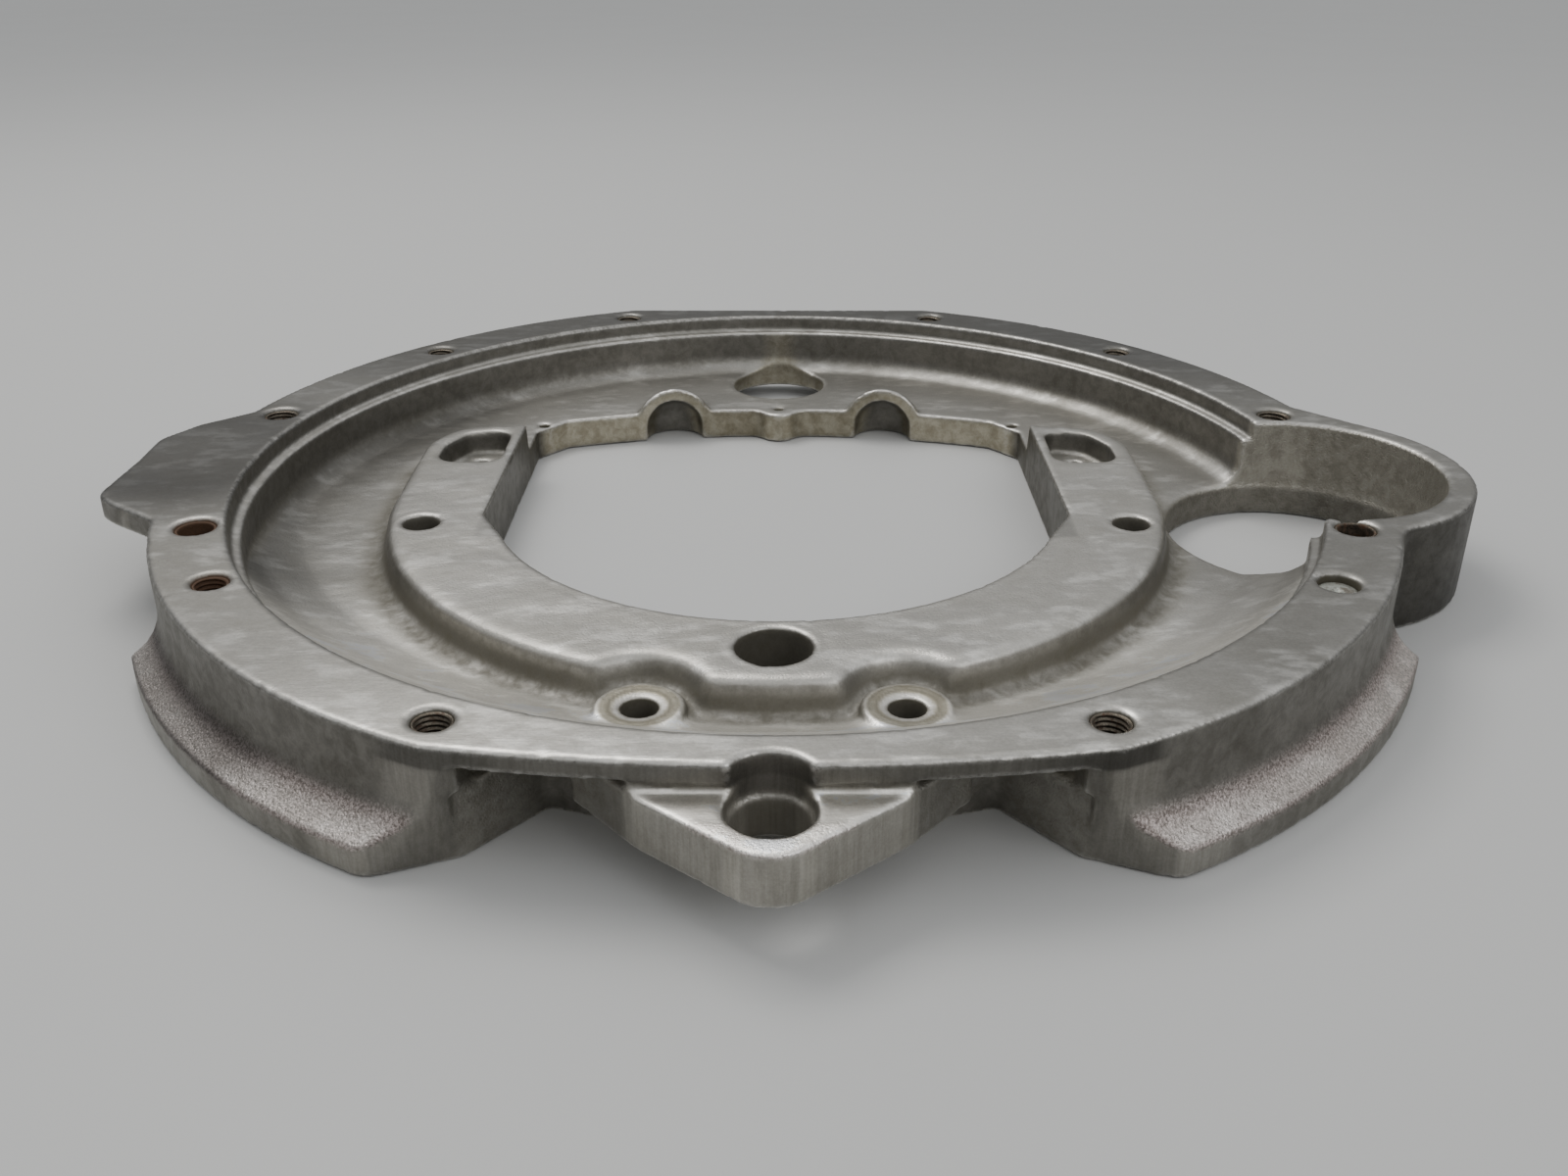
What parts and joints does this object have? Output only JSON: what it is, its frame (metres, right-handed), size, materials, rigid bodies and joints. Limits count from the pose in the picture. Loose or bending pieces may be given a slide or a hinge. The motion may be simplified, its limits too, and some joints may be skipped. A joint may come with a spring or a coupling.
{
  "type": "engine to gearbox adapter plate",
  "caption": "Cast and machined light-alloy adapter plate that bolts a gearbox to an engine, with a dished web, a D-shaped crankshaft opening, a starter motor pocket and a front lug.",
  "frame": {"origin": "crankshaft axis, in the engine face that the plate lies on", "axes": "+Z along the crankshaft axis towards the gearbox, +Y to the rear or upper side away from the lug, +X to the starter motor pocket"},
  "size_m": [0.4758, 0.4253, 0.038],
  "materials": {
    "cast_alloy": "sand-cast and machined, worn and grimy",
    "plug_alloy": "turned, stained",
    "insert_steel": "stained steel",
    "dowel_steel": "rusty steel"
  },
  "bodies": {
    "root": {"flange_casting": "cast_alloy", "blind_hole_plug": "plug_alloy", "hollow_dowel_left": "dowel_steel", "hollow_dowel_right": "dowel_steel", "insert_rear_right_outer": "insert_steel", "insert_rear_right_middle": "insert_steel", "insert_rear_right_inner": "insert_steel", "insert_rear_left_inner": "insert_steel", "insert_rear_left_middle": "insert_steel", "insert_rear_left_outer": "insert_steel", "insert_left_lower": "insert_steel", "insert_front_left": "insert_steel", "insert_front_right": "insert_steel"}
  },
  "joints": []
}
